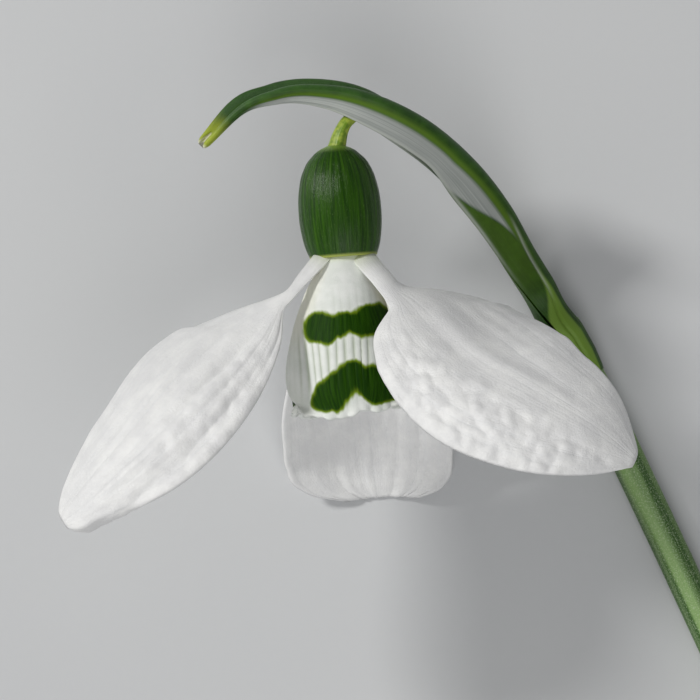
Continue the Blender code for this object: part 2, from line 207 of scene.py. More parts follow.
# The green marks on an inner petal as round patches that run together: across, below the
# petal's top, and radius
UPPER_MARK = [
    (-2.50, 5.80, 1.15), (-1.85, 5.95, 1.15), (-1.05, 5.75, 0.90), (-0.25, 5.60, 0.70),
    (0.50, 5.60, 0.85), (1.55, 5.55, 1.25), (2.25, 5.50, 1.25),
]
LOWER_MARK = [
    (0.05, 9.45, 0.75), (-0.30, 9.95, 0.75), (-0.85, 10.25, 0.95), (-1.50, 10.85, 1.10),
    (-2.05, 11.45, 1.10), (-2.60, 11.90, 0.75), (-1.60, 12.00, 0.75), (-0.80, 11.10, 0.75),
    (0.55, 9.95, 0.85), (1.05, 10.20, 1.00), (1.75, 10.60, 1.15), (2.50, 11.00, 1.10),
    (3.20, 11.30, 0.80), (1.05, 11.05, 0.75), (1.75, 11.55, 0.75),
]

# ---------------- studio settings

SUBSURFACE_DEPTH = 0.7 * MM
FLOOR_REACH = 1.5
LAMPS = [  # name, place from the flower, size, power, colour
    ("key", (-0.48, 0.26, 0.36), 0.11, 2.7, (1.0, 0.99, 0.965)),
    ("fill", (0.05, -0.35, 0.55), 0.50, 1.6, (1.0, 0.99, 0.975)),
]
SKY_COLOUR = (0.97, 0.985, 1.0, 1.0)
SKY_STRENGTH = 0.20
CAMERA_LENS = 185.1
CAMERA_PLACE = (0.53, -7.75, 300.0)  # in millimetres from the flower, straight above it


# ---------------- curves and frames


def follow(stations, share):
    """The smooth value at a share of the way through (share, value) stations."""
    knots = np.array([s[0] for s in stations], float)
    values = np.array([s[1] for s in stations], float)
    slopes = np.gradient(values, knots, axis=0)
    share = min(max(share, knots[0]), knots[-1])
    i = min(int(np.searchsorted(knots, share, side="right")) - 1, len(knots) - 2)
    step = knots[i + 1] - knots[i]
    s = (share - knots[i]) / step
    start = (1 + 2 * s) * (1 - s) ** 2 * values[i] + s * (1 - s) ** 2 * step * slopes[i]
    end = s * s * (3 - 2 * s) * values[i + 1] + s * s * (s - 1) * step * slopes[i + 1]
    return start + end


def follow_all(stations, shares):
    return np.array([follow(stations, share) for share in shares])


def unit(vector):
    return vector / np.linalg.norm(vector)


def tangent(stations, share, reach=0.01):
    return unit(follow(stations, share + reach) - follow(stations, share - reach))


def smooth(low, high, value):
    """0 below low, 1 above high, and an even S between them."""
    s = np.clip((value - low) / (high - low), 0.0, 1.0)
    return s * s * (3 - 2 * s)


def between(low, start, end, high, value):
    """1 from start to end, falling away smoothly to 0 at low and at high."""
    return smooth(low, start, value) * (1 - smooth(end, high, value))


def bell(distance, width):
    """1 where the distance is nothing, and close to 0 from two widths on."""
    return np.exp(-((distance / width) ** 2))


def rough(points, size, seed=0.0):
    """Soft noise from -1 to 1 at each point, with lumps of about the given size."""
    flat = np.asarray(points, float).reshape(-1, 3) / size + seed
    values = [noise.noise(Vector(point)) for point in flat]
    return np.array(values).reshape(np.asarray(points).shape[:-1])


def joined(x, y, z):
    """Points from their three coordinates, each an array or a number."""
    return np.stack(np.broadcast_arrays(x, y, z), axis=-1)


def tilted(points):
    """From the hanging bloom's own frame to the plant's."""
    x, y, z = np.moveaxis(np.asarray(points, float), -1, 0)
    c, s = math.cos(FLOWER_TILT), math.sin(FLOWER_TILT)
    return joined(x * c - z * s, y, x * s + z * c)


def laid_down(points):
    """The growing plant turned to lie on its back."""
    x, y, z = np.moveaxis(np.asarray(points, float), -1, 0)
    return joined(x, z, -y)


def round_rows(profile, steps):
    """Rows of points round the Z axis, one for each (height, radius)."""
    turns = np.arange(steps) * 2 * math.pi / steps
    return np.array([joined(r * np.sin(turns), -r * np.cos(turns), z) for z, r in profile])


def flower_origin():
    """Where the petals meet the ovary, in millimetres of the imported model."""
    profile = [(OVARY_HEIGHT * share, OVARY_RADIUS * radius) for share, radius in OVARY_PROFILE]
    laid = laid_down(tilted(round_rows(profile, OVARY_SIDES))).reshape(-1, 3)
    low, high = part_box("ovary")
    middle = (np.array(low) + np.array(high)) / 2 / MM
    return middle - (laid.min(axis=0) + laid.max(axis=0)) / 2


ORIGIN = flower_origin()


def world(points):
    """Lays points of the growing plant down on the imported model, in metres."""
    return (laid_down(points) + ORIGIN) * MM


def bloom_matrix():
    """The same step for a mesh made in the bloom's frame, in metres."""
    corner = world(tilted([(0, 0, 0), (1 / MM, 0, 0), (0, 1 / MM, 0), (0, 0, 1 / MM)]))
    columns = [corner[i] - corner[0] for i in (1, 2, 3)] + [corner[0]]
    matrix = Matrix.Identity(4)
    for j, column in enumerate(columns):
        for i in range(3):
            matrix[i][j] = column[i]
    return matrix


# ---------------- meshes


def grid_mesh(name, grid, fields, wrapped=False):
    """A mesh through a grid of points, with one number for each point in each named field."""
    rows, columns = grid.shape[:2]
    index = np.arange(rows * columns).reshape(rows, columns)
    if wrapped:
        index = np.concatenate([index, index[:, :1]], axis=1)
    corners = [index[:-1, :-1], index[:-1, 1:], index[1:, 1:], index[1:, :-1]]
    faces = np.stack(corners, axis=-1).reshape(-1, 4)
    mesh = bpy.data.meshes.new(name)
    mesh.from_pydata(grid.reshape(-1, 3).tolist(), [], faces.tolist())
    for label, values in fields.items():
        layer = mesh.attributes.new(label, "FLOAT", "POINT")
        layer.data.foreach_set("value", np.asarray(values, np.float32).ravel())
    return mesh


def closed(mesh):
    """Joins points that meet, turns every face outwards and smooths the shading."""
    shape = bmesh.new()
    shape.from_mesh(mesh)
    bmesh.ops.remove_doubles(shape, verts=shape.verts, dist=0.002 * MM)
    bmesh.ops.dissolve_degenerate(shape, edges=shape.edges, dist=0.0005 * MM)
    bmesh.ops.recalc_face_normals(shape, faces=shape.faces)
    shape.to_mesh(mesh)
    shape.free()
    mesh.shade_smooth()
    return mesh


def sheet_normals(grid):
    down = np.gradient(grid, axis=0)
    over = np.gradient(grid, axis=1)
    normal = np.cross(over, down)
    length = np.linalg.norm(normal, axis=-1, keepdims=True)
    return normal / np.maximum(length, 1e-12)


def walled(name, grid, thickness, fields):
    """A sheet with its thickness, which runs out to nothing all round its rim."""
    rim = np.ones(grid.shape[:2])
    rim[[0, -1], :] = 0.0
    rim[:, [0, -1]] = 0.0
    rim[[1, -2], 1:-1] = 0.75
    rim[1:-1, [1, -2]] = 0.75
    shift = sheet_normals(grid) * (0.5 * thickness * rim * MM)[..., None]
    front = grid_mesh(name, grid + shift, fields)
    back = grid_mesh(name, grid - shift, fields)
    back.flip_normals()
    shape = bmesh.new()
    shape.from_mesh(front)
    shape.from_mesh(back)
    shape.to_mesh(front)
    shape.free()
    bpy.data.meshes.remove(back)
    return closed(front)


def added(name, data):
    """A new object in the scene."""
    thing = bpy.data.objects.new(name, data)
    bpy.context.scene.collection.objects.link(thing)
    return thing


def place(name, mesh, finish, slot, *nodes):
    """Adds a finished mesh as the piece that stands for CAD nodes."""
    mesh.materials.clear()
    mesh.materials.append(finish)
    piece = added(name, mesh)
    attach(piece, "root")
    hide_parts(*nodes)


# ---------------- node helpers


def node(tree, kind, inputs=None, **settings):
    """Adds a node. An input given as a socket is linked, anything else is set."""
    made = tree.nodes.new(kind)
    for key, value in settings.items():
        setattr(made, key, value)
    for key, value in (inputs or {}).items():
        if isinstance(value, bpy.types.NodeSocket):
            tree.links.new(value, made.inputs[key])
        else:
            made.inputs[key].default_value = value
    return made


def math_node(tree, operation, *values):
    return node(tree, "ShaderNodeMath", dict(enumerate(values)), operation=operation).outputs[0]


def times(tree, *values):
    return math_node(tree, "MULTIPLY", *values)


def times_plus(tree, value, factor, rest):
    return math_node(tree, "MULTIPLY_ADD", value, factor, rest)


def vector(tree, x, y, z=0.0):
    return node(tree, "ShaderNodeCombineXYZ", {0: x, 1: y, 2: z}).outputs[0]


def ramp(tree, value, low, high, start=0.0, end=1.0):
    """An even S from start to end as the value goes from low to high."""
    settings = {"Value": value, "From Min": low, "From Max": high, "To Min": start, "To Max": end}
    return node(tree, "ShaderNodeMapRange", settings, interpolation_type="SMOOTHSTEP").outputs[0]


def mixed(tree, factor, under, over):
    """Two colours mixed; each is a socket or a tuple."""
    made = node(tree, "ShaderNodeMix", {0: factor}, data_type="RGBA")
    for i, colour in ((6, under), (7, over)):
        if isinstance(colour, bpy.types.NodeSocket):
            tree.links.new(colour, made.inputs[i])
        else:
            made.inputs[i].default_value = (*colour, 1.0)
    return made.outputs[2]


def layered(tree, colour, *layers):
    """A colour with others laid over it in turn, each as (how much of it, colour)."""
    for amount, over in layers:
        colour = mixed(tree, amount, colour, over)
    return colour


def fields(tree, *names):
    """Numbers that the mesh carries at each point."""
    return [node(tree, "ShaderNodeAttribute", attribute_name=name).outputs["Fac"] for name in names]


def cloud(tree, spot, size, detail=3.0, roughness=0.55):
    """Noise from 0 to 1 with lumps of the given size, in the spot's own unit."""
    settings = {"Vector": spot, "Scale": 1.0 / size, "Detail": detail, "Roughness": roughness}
    return node(tree, "ShaderNodeTexNoise", settings).outputs[0]


def streaks(tree, across, along, count, size, detail=3.0, roughness=0.55):
    """Noise drawn out along a piece; the larger the count, the finer it is across."""
    return cloud(tree, vector(tree, times(tree, across, count), along), size, detail, roughness)


def speckle(tree, size, detail=3.0, roughness=0.55):
    """Noise from 0 to 1 through the piece itself, with lumps of size millimetres."""
    spot = node(tree, "ShaderNodeTexCoord").outputs["Object"]
    return cloud(tree, spot, size * MM, detail, roughness)


def finish(name, colour_of, subsurface=0.3, specular=0.5):
    """A material: colour_of(tree, shader) links colour, roughness and height; the rest is set."""
    made = bpy.data.materials.new(name)
    made.use_nodes = True
    tree = made.node_tree
    shader = tree.nodes["Principled BSDF"]
    shader.inputs["Subsurface Weight"].default_value = subsurface
    shader.inputs["Subsurface Radius"].default_value = (1.0, 1.0, 1.0)
    shader.inputs["Subsurface Scale"].default_value = SUBSURFACE_DEPTH
    shader.inputs["Specular IOR Level"].default_value = specular
    colour_of(tree, shader)
    return made


def connect(tree, shader, colour, grains, roughness, height, depth, strength=1.0):
    """Links a colour, a roughness that varies with the grains, and a height depth metres proud."""
    tree.links.new(colour, shader.inputs["Base Color"])
    tree.links.new(ramp(tree, grains, 0.3, 0.7, *roughness), shader.inputs["Roughness"])
    settings = {"Height": height, "Distance": depth, "Strength": strength}
    bump = node(tree, "ShaderNodeBump", settings)
    tree.links.new(bump.outputs[0], shader.inputs["Normal"])


# ---------------- finishes


def stripes(tree, across, along, count, wander, seed):
    """Lines that run along a petal, wander and fade: 1 on a line and 0 between them."""
    stray = cloud(tree, vector(tree, across, along, seed), 0.35, detail=2.0)
    turns = times(tree, times_plus(tree, stray, wander, across), count * math.pi)
    wave = math_node(tree, "ABSOLUTE", math_node(tree, "COSINE", turns))
    lines = math_node(tree, "POWER", wave, 5.0)
    patch = vector(tree, times(tree, across, 0.35 * count), along, seed)
    return times(tree, lines, ramp(tree, cloud(tree, patch, 0.9), 0.4, 0.65))


def outer_white(tree, shader):
    across, along = fields(tree, "across", "along")
    veins = stripes(tree, across, along, 11.0, 0.12, 2.0)
    threads = stripes(tree, across, along, 31.0, 0.08, 7.0)
    blotches = ramp(tree, speckle(tree, 2.2), 0.35, 0.7)
    grains = speckle(tree, 0.19, 4.0, 0.7)
    colour = layered(
        tree,
        mixed(tree, blotches, (0.79, 0.79, 0.795), (0.875, 0.875, 0.87)),
        (times(tree, veins, 0.10), (0.62, 0.66, 0.70)),
        (times(tree, threads, 0.04), (0.64, 0.67, 0.70)),
        (ramp(tree, along, 0.0, 0.06, 0.5, 0.0), (0.62, 0.70, 0.42)),
    )
    height = times_plus(tree, veins, -0.3, times_plus(tree, threads, -0.12, grains))
    connect(tree, shader, colour, grains, (0.36, 0.56), height, 0.06 * MM)


def inner_white(tree, shader):
    across, along, mark, groove = fields(tree, "across", "along", "mark", "groove")
    threads = stripes(tree, across, along, 34.0, 0.05, 3.0)
    grains = speckle(tree, 0.14, 4.0, 0.7)
    blotches = ramp(tree, speckle(tree, 1.6), 0.35, 0.7)
    side = ramp(tree, math_node(tree, "ABSOLUTE", across), 0.45, 0.85, 0.0, 0.45)
    upper = ramp(tree, along, 0.35, 0.6, 1.0, 0.25)
    streaked = ramp(tree, streaks(tree, across, along, 9.0, 0.22), 0.3, 0.7)
    deep = mixed(tree, streaked, (0.006, 0.032, 0.0002), (0.018, 0.066, 0.0004))
    green = mixed(tree, ramp(tree, mark, 0.35, 0.95), (0.20, 0.30, 0.012), deep)
    colour = layered(
        tree,
        mixed(tree, blotches, (0.76, 0.79, 0.75), (0.86, 0.88, 0.85)),
        (times(tree, threads, 0.06), (0.55, 0.62, 0.48)),
        (times(tree, groove, 0.6), (0.26, 0.32, 0.19)),
        (times(tree, side, upper), (0.80, 0.76, 0.58)),
        (ramp(tree, along, 0.0, 0.05, 0.6, 0.0), (0.55, 0.64, 0.30)),
        (ramp(tree, mark, 0.08, 0.55), green),
    )
    height = times_plus(tree, threads, -0.12, grains)
    connect(tree, shader, colour, grains, (0.48, 0.62), height, 0.03 * MM, 0.7)


def ovary_green(tree, shader):
    around, along = fields(tree, "around", "along")
    lines = streaks(tree, around, along, 80.0, 0.5, 4.0, 0.65)
    broad = ramp(tree, streaks(tree, around, along, 22.0, 0.6), 0.3, 0.7)
    specks = speckle(tree, 0.11, 2.0)
    colour = layered(
        tree,
        mixed(tree, broad, (0.006, 0.034, 0.0002), (0.025, 0.090, 0.0006)),
        (ramp(tree, lines, 0.5, 0.78, 0.0, 0.45), (0.080, 0.180, 0.004)),
        (ramp(tree, specks, 0.6, 0.78, 0.0, 0.3), (0.24, 0.37, 0.12)),
        (ramp(tree, along, 0.93, 1.0), (0.20, 0.34, 0.05)),
        (ramp(tree, along, 0.0, 0.035, 1.0, 0.0), (0.40, 0.46, 0.10)),
    )
    height = times_plus(tree, specks, 0.4, lines)
    connect(tree, shader, colour, lines, (0.22, 0.36), height, 0.05 * MM, 0.8)


def spathe_green(tree, shader):
    around, along, skin = fields(tree, "around", "along", "skin")
    lines = streaks(tree, around, along, 60.0, 0.5, 4.0, 0.65)
    blotches = ramp(tree, speckle(tree, 1.3), 0.3, 0.7)
    grains = speckle(tree, 0.12, 3.0, 0.7)
    film = mixed(tree, ramp(tree, lines, 0.35, 0.7), (0.34, 0.365, 0.35), (0.52, 0.545, 0.52))

    def where(name, amount):
        return times(tree, *fields(tree, name), amount)

    colour = layered(
        tree,
        mixed(tree, blotches, (0.012, 0.050, 0.002), (0.030, 0.098, 0.004)),
        (ramp(tree, lines, 0.5, 0.75, 0.0, 0.5), (0.065, 0.160, 0.012)),
        (where("bloom", ramp(tree, grains, 0.3, 0.6, 0.35, 0.75)), (0.080, 0.165, 0.062)),
        # painted shade: near black between the keels and down the slit by the stem
        (where("groove", 0.85), (0.004, 0.018, 0.004)),
        (where("edge", 0.75), (0.120, 0.230, 0.012)),
        (where("slit", 0.9), (0.200, 0.340, 0.045)),
        (skin, film),
        (where("hem", 0.7), (0.60, 0.63, 0.58)),
        (ramp(tree, along, 0.96, 0.995, 0.0, 0.9), (0.36, 0.43, 0.030)),
        (ramp(tree, along, 1.004, 1.014, 0.0, 0.8), (0.80, 0.78, 0.62)),
    )
    height = times_plus(tree, grains, 0.5, lines)
    connect(tree, shader, colour, grains, (0.34, 0.52), height, 0.04 * MM, 0.8)


def stem_green(tree, shader):
    around, along = fields(tree, "around", "along")
    lines = streaks(tree, around, along, 24.0, 0.6, 4.0, 0.65)
    bands = ramp(tree, streaks(tree, around, along, 6.0, 0.9, detail=1.0), 0.42, 0.60)
    grains = speckle(tree, 0.13, 3.0, 0.7)
    colour = layered(
        tree,
        mixed(tree, bands, (0.035, 0.105, 0.012), (0.240, 0.390, 0.130)),
        (ramp(tree, lines, 0.5, 0.72, 0.0, 0.3), (0.290, 0.430, 0.170)),
        (ramp(tree, grains, 0.5, 0.66, 0.0, 0.55), (0.540, 0.640, 0.440)),
        (ramp(tree, along, 0.06, 0.0, 0.0, 0.5), (0.130, 0.300, 0.030)),
    )
    height = times_plus(tree, grains, 0.6, lines)
    connect(tree, shader, colour, grains, (0.34, 0.55), height, 0.05 * MM, 0.8)


def pedicel_green(tree, shader):
    around, along = fields(tree, "around", "along")
    mottle = speckle(tree, 0.45, 4.0)
    lines = streaks(tree, around, along, 16.0, 0.4)
    patches = ramp(tree, mottle, 0.35, 0.65)
    green = mixed(tree, patches, (0.150, 0.270, 0.012), (0.360, 0.460, 0.050))
    colour = mixed(tree, ramp(tree, lines, 0.5, 0.7, 0.0, 0.5), green, (0.500, 0.570, 0.130))
    height = times_plus(tree, mottle, 0.6, lines)
    connect(tree, shader, colour, mottle, (0.35, 0.5), height, 0.05 * MM, 0.8)


def anther_orange(tree, shader):
    (along,) = fields(tree, "along")
    grains = speckle(tree, 0.09, 4.0, 0.7)
    blotches = ramp(tree, speckle(tree, 0.8), 0.3, 0.7)
    colour = layered(
        tree,
        mixed(tree, blotches, (0.62, 0.25, 0.015), (0.80, 0.42, 0.045)),
        (ramp(tree, grains, 0.5, 0.75, 0.0, 0.6), (0.88, 0.62, 0.16)),
        (ramp(tree, along, 0.08, 0.15, 1.0, 0.0), (0.72, 0.76, 0.58)),
    )
    connect(tree, shader, colour, grains, (0.55, 0.8), grains, 0.05 * MM, 0.9)


def style_white(tree, shader):
    (along,) = fields(tree, "along")
    grains = speckle(tree, 0.1, 3.0)
    white = mixed(tree, ramp(tree, grains, 0.35, 0.65), (0.70, 0.75, 0.58), (0.82, 0.85, 0.72))
    colour = mixed(tree, ramp(tree, along, 0.0, 0.2, 0.6, 0.0), white, (0.45, 0.58, 0.22))
    connect(tree, shader, colour, grains, (0.4, 0.55), grains, 0.03 * MM, 0.8)


def floor_paper(tree, shader):
    broad = ramp(tree, speckle(tree, 60, 2.0), 0.3, 0.7)
    fine = speckle(tree, 0.8, 4.0)
    colour = mixed(tree, broad, (0.60, 0.61, 0.625), (0.63, 0.64, 0.65))
    connect(tree, shader, colour, fine, (0.75, 0.9), fine, 0.02 * MM, 0.3)


# ---------------- Geometry Nodes


def growth_tree(name, inputs):
    """An empty Geometry Nodes tree with named inputs, given with their defaults."""
    tree = bpy.data.node_groups.new(name, "GeometryNodeTree")

    def add(label, kind, in_out="INPUT"):
        kind = f"NodeSocket{kind}"
        return tree.interface.new_socket(name=label, in_out=in_out, socket_type=kind)

    add("Geometry", "Geometry")
    for label, value in inputs.items():
        add(label, "Int" if isinstance(value, int) else "Float").default_value = value
    add("Finish", "Material")
    add("Geometry", "Geometry", "OUTPUT")
    return tree, tree.nodes.new("NodeGroupInput").outputs


def end_tree(tree, geometry, finish_socket):
    realized = node(tree, "GeometryNodeRealizeInstances", {0: geometry}).outputs[0]
    settings = {"Geometry": realized, "Material": finish_socket}
    coloured = node(tree, "GeometryNodeSetMaterial", settings).outputs[0]
    node(tree, "NodeGroupOutput", {0: coloured})


def named(tree, name):
    """A number that the mesh carries at each point."""
    made = node(tree, "GeometryNodeInputNamedAttribute", {"Name": name}, data_type="FLOAT")
    return next(socket for socket in made.outputs if socket.enabled)


def lumps(tree, size, height, seed):
    """A rise and fall in lumps of the given size."""
    spot = node(tree, "GeometryNodeInputPosition").outputs[0]
    per_size = math_node(tree, "DIVIDE", 1.0, size)
    settings = {"Vector": spot, "W": seed, "Scale": per_size, "Detail": 1.0}
    swell = node(tree, "ShaderNodeTexNoise", settings, noise_dimensions="4D").outputs[0]
    return times(tree, math_node(tree, "SUBTRACT", swell, 0.5), height)


def raised(tree, geometry, lift):
    """The geometry with every point moved along its normal."""
    normal = node(tree, "GeometryNodeInputNormal").outputs[0]
    offset = node(tree, "ShaderNodeVectorMath", {0: normal, "Scale": lift}, operation="SCALE")
    settings = {"Geometry": geometry, "Offset": offset.outputs[0]}
    return node(tree, "GeometryNodeSetPosition", settings).outputs[0]


def grow(data, tree, values):
    """Runs a tree on a mesh or curve and gives back the plain mesh."""
    thing = added(data.name, data)
    modifier = thing.modifiers.new(tree.name, "NODES")
    modifier.node_group = tree
    for item in tree.interface.items_tree:
        if item.in_out == "INPUT" and item.name in values:
            modifier[item.identifier] = values[item.name]
    bpy.context.view_layer.update()
    graph = bpy.context.evaluated_depsgraph_get()
    made = bpy.data.meshes.new_from_object(
        thing.evaluated_get(graph), preserve_all_data_layers=True, depsgraph=graph
    )
    thing.modifiers.remove(modifier)
    bpy.data.objects.remove(thing, do_unlink=True)
    return made


def relief_tree():
    """Raises soft folds along a petal sheet, crumples them and puckers the sheet.

    Each point says where it is across and along the petal, and how much of each it takes.
    """
    defaults = {
        "Folds": 6.0, "Fold Height": 0.5 * MM, "Crumples": 14.0, "Crumple Height": 0.2 * MM,
        "Pucker Size": 1.2 * MM, "Pucker Height": 0.3 * MM, "Seed": 1.0,
    }
    tree, given = growth_tree("petal relief", defaults)
    across, along = named(tree, "across"), named(tree, "along")

    def strands(count, stretch, detail, height):
        over = times(tree, across, times(tree, count, 0.5))
        strand = vector(tree, over, times(tree, along, stretch), given["Seed"])
        rise = cloud(tree, strand, 1.0, detail=detail)
        return times(tree, math_node(tree, "SUBTRACT", rise, 0.5), height)

    folds = strands(given["Folds"], 1.4, 1.0, given["Fold Height"])
    crumples = strands(given["Crumples"], 7.0, 2.0, given["Crumple Height"])
    lines = times(tree, math_node(tree, "ADD", folds, crumples), named(tree, "folded"))
    puckers = lumps(tree, given["Pucker Size"], given["Pucker Height"], given["Seed"])
    lift = math_node(tree, "ADD", lines, times(tree, puckers, named(tree, "puckered")))
    end_tree(tree, raised(tree, given["Geometry"], lift), given["Finish"])
    return tree


def stalk_tree():
    """Sweeps a grooved round section along a path, as thick as the path's own radius says."""
    defaults = {
        "Rings": 200, "Sides": 48, "Grooves": 9.0, "Groove Depth": 0.04 * MM,
        "Lump Size": 3.0 * MM, "Lump Height": 0.05 * MM, "Seed": 1.0,
    }
    tree, given = growth_tree("grooved stalk", defaults)

    def noted(curve, name):
        share = node(tree, "GeometryNodeSplineParameter").outputs["Factor"]
        settings = {"Geometry": curve.outputs[0], "Name": name, "Value": share}
        kind = "GeometryNodeStoreNamedAttribute"
        return node(tree, kind, settings, data_type="FLOAT").outputs[0]

    settings = {"Curve": given["Geometry"], "Count": given["Rings"]}
    path = noted(node(tree, "GeometryNodeResampleCurve", settings), "along")
    settings = {"Resolution": given["Sides"], "Radius": 1.0}
    section = noted(node(tree, "GeometryNodeCurvePrimitiveCircle", settings), "around")
    swept = node(tree, "GeometryNodeCurveToMesh", {"Curve": path, "Profile Curve": section})
    swept.inputs["Fill Caps"].default_value = True
    if "Scale" in swept.inputs:
        radius = node(tree, "GeometryNodeInputRadius").outputs[0]
        tree.links.new(radius, swept.inputs["Scale"])

    turns = times(tree, named(tree, "around"), given["Grooves"])
    wave = math_node(tree, "COSINE", times(tree, turns, 2 * math.pi))
    grooves = times(tree, wave, given["Groove Depth"])
    swells = lumps(tree, given["Lump Size"], given["Lump Height"], given["Seed"])
    lift = math_node(tree, "ADD", grooves, swells)
    end_tree(tree, raised(tree, swept.outputs[0], lift), given["Finish"])
    return tree


def stamen_tree():
    """Stands copies of one stamen in a ring, each leaning out a little."""
    defaults = {"Count": 6, "Circle": 1.2 * MM, "Splay": 0.03, "Unevenness": 0.1, "Seed": 1}
    tree, given = growth_tree("stamen ring", defaults)
    index = node(tree, "GeometryNodeInputIndex").outputs[0]
    full = math_node(tree, "DIVIDE", math_node(tree, "ADD", index, 0.5), given["Count"])
    angle = times(tree, full, 2 * math.pi)
    x = times(tree, math_node(tree, "SINE", angle), given["Circle"])
    y = times(tree, math_node(tree, "COSINE", angle), given["Circle"])
    settings = {"Count": given["Count"], "Position": vector(tree, x, times(tree, y, -1.0))}
    points = node(tree, "GeometryNodePoints", settings).outputs[0]
    chance = node(tree, "FunctionNodeRandomValue", {"Seed": given["Seed"]}, data_type="FLOAT")
    uneven = times_plus(tree, chance.outputs[1], given["Unevenness"], 1.0)
    settings = {
        "Points": points,
        "Instance": given["Geometry"],
        "Rotation": vector(tree, times(tree, given["Splay"], -1.0), 0.0, angle),
        "Scale": vector(tree, 1.0, 1.0, uneven),
    }
    ring = node(tree, "GeometryNodeInstanceOnPoints", settings).outputs[0]
    end_tree(tree, ring, given["Finish"])
    return tree


# ---------------- petals


def outer_sheet(petal, rows=150, columns=91):
    """An outer petal without thickness: a spoon that curls away from its outer face."""
    left = [(share, half) for share, half, _ in petal["widths"]]
    right = [(share, half) for share, _, half in petal["widths"]]
    across = np.linspace(-1.0, 1.0, columns)
    grid = []
    for share in np.linspace(0.0, 1.0, rows):
        middle = follow(petal["rib"], share)
        along = tangent(petal["rib"], share)
        side = unit(np.cross(along, np.array(petal["face"])))
        out = np.cross(side, along)
        cup = float(follow(OUTER_CUP, share))
        half = np.where(across > 0, float(follow(left, share)), float(follow(right, share)))
        turn = cup * across
        over = half * np.sin(turn) / cup
        curl = half * (1 - np.cos(turn)) / cup
        grid.append(middle + over[:, None] * side - curl[:, None] * out)
    widest = max(half for _, half in left), max(half for _, half in right)
    across, shares = np.meshgrid(across, np.linspace(0.0, 1.0, rows))
    over = across * np.where(across > 0, *widest) * 2 / sum(widest)
    return np.array(grid), across, over, shares


def outer_petal(name, tree, white, petal):
    """A petal's sheet with its relief and its thickness; over is across, with even widths."""
    grid, across, over, along = outer_sheet(petal)
    middle, reach = petal["folds_about"]
    fade, fade_from, fade_to = petal["folds_fade"]
    pucker_side, pucker_from = petal["puckered_from"]
    body = smooth(0.13, 0.36, along) * (1 - fade * smooth(fade_from, fade_to, along))
    margin = 1 - 0.75 * smooth(0.8, 1.0, np.abs(across))
    puckered = smooth(0.0, 0.5, pucker_side * (over - pucker_from))
    fields = {
        "across": over,
        "along": along,
        "folded": body * margin * (0.35 + 0.65 * bell(over - middle, reach)),
        "puckered": (0.12 + 0.88 * puckered)
        * smooth(0.2, 0.42, along)
        * (1 - 0.75 * smooth(0.8, 0.97, along)),
    }
    plain = grid_mesh(name, world(grid), fields)
    lifted = grow(plain, tree, {**petal["relief"], "Finish": white})
    points = np.empty(len(lifted.vertices) * 3, np.float32)
    lifted.vertices.foreach_get("co", points)
    grid = points.reshape(*across.shape, 3).astype(float)
    if "turned_margin" in petal:
        # a narrow strip of the margin near the tip is folded back
        crease, start = petal["turned_margin"]
        beyond = np.maximum(0.0, crease * across - start) * TURN_STEEPNESS * MM
        strip = between(0.78, 0.85, 0.96, 1.0, along)
        grid = grid - sheet_normals(grid) * (beyond * strip)[..., None]
    thickness = OUTER_THICKNESS * (1 + 0.8 * (1 - smooth(0.0, 0.2, along)))
    mesh = walled(name, grid, thickness, {"across": over, "along": along})
    place(name, mesh, white, "petal_white", petal["node"])


def distance_inside(discs, x, y, softness=0.16):
    """Distance to the rim of round patches that run together softly, above zero inside."""
    total = sum(np.exp((radius - np.hypot(x - u, y - v)) / softness) for u, v, radius in discs)
    return softness * np.log(total)


